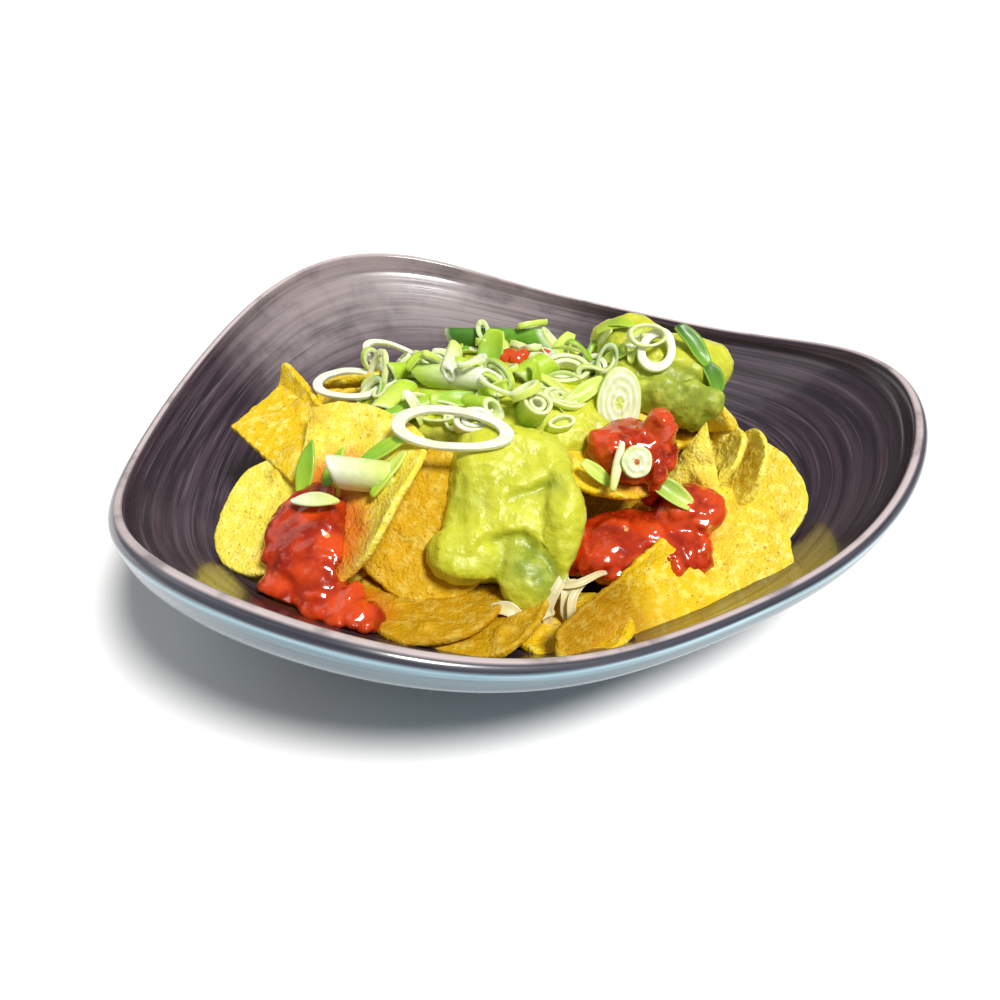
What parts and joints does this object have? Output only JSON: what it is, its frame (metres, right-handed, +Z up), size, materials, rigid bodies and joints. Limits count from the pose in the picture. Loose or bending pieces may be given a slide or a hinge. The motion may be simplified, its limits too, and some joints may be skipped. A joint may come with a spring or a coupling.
{
  "type": "bowl of nachos",
  "caption": "Tortilla chips heaped in a rounded-triangle glazed bowl, topped with guacamole, tomato salsa and sliced spring onion.",
  "frame": {"origin": "middle of the bounding box's bottom, on the table under the bowl", "axes": "+Z up from the table, +Y away from the diner, +X to the diner's right, towards one corner of the bowl"},
  "size_m": [0.235, 0.24, 0.0749],
  "materials": {
    "glaze": "glossy streaked dark glaze on stoneware",
    "tortilla": "dry, blistered, finely speckled fried maize",
    "guacamole": "soft, lumpy, moist",
    "salsa": "wet and glossy",
    "shreds": "satin",
    "spring_onion": "fresh, slightly waxy"
  },
  "bodies": {
    "root": {"bowl": "glaze", "chip_back_left": "tortilla", "chip_bed": "tortilla", "chip_front_curl": "tortilla", "chip_front_edge": "tortilla", "chip_front_fold": "tortilla", "chip_guacamole": "tortilla", "chip_left_fold": "tortilla", "chip_left_round": "tortilla", "chip_lower": "tortilla", "chip_middle": "tortilla", "chip_right_back": "tortilla", "chip_right_edge": "tortilla", "chip_right_round": "tortilla", "chip_right_stack": "tortilla", "chip_salsa_left": "tortilla", "chip_salsa_right": "tortilla", "chip_upright": "tortilla", "guacamole_main": "guacamole", "guacamole_right": "guacamole", "onion_blade_dark": "spring_onion", "onion_blade_left": "spring_onion", "onion_half_right": "spring_onion", "onion_leaf_back": "spring_onion", "onion_leaf_edge": "spring_onion", "onion_leaf_middle": "spring_onion", "onion_leaf_right": "spring_onion", "onion_loop_left": "spring_onion", "onion_ring_front": "spring_onion", "onion_ring_hole": "spring_onion", "onion_ring_inner": "spring_onion", "onion_ring_left": "spring_onion", "onion_ring_middle": "spring_onion", "onion_ring_pale": "spring_onion", "onion_ring_upright": "spring_onion", "onion_slice_oval": "spring_onion", "onion_slice_round": "spring_onion", "onion_sliver": "spring_onion", "onion_strip_bright": "spring_onion", "onion_strip_left": "spring_onion", "onion_strip_low": "spring_onion", "onion_strip_right": "spring_onion", "onion_strip_salsa": "spring_onion", "onion_strip_thin": "spring_onion", "onion_tube_back": "spring_onion", "onion_tube_dark": "spring_onion", "onion_tube_front": "spring_onion", "onion_tube_left": "spring_onion", "onion_tube_middle": "spring_onion", "onion_tube_salsa": "spring_onion", "onion_tube_split": "spring_onion", "salsa_left": "salsa", "salsa_pool": "salsa", "salsa_right": "salsa", "shreds": "shreds"}
  },
  "joints": []
}
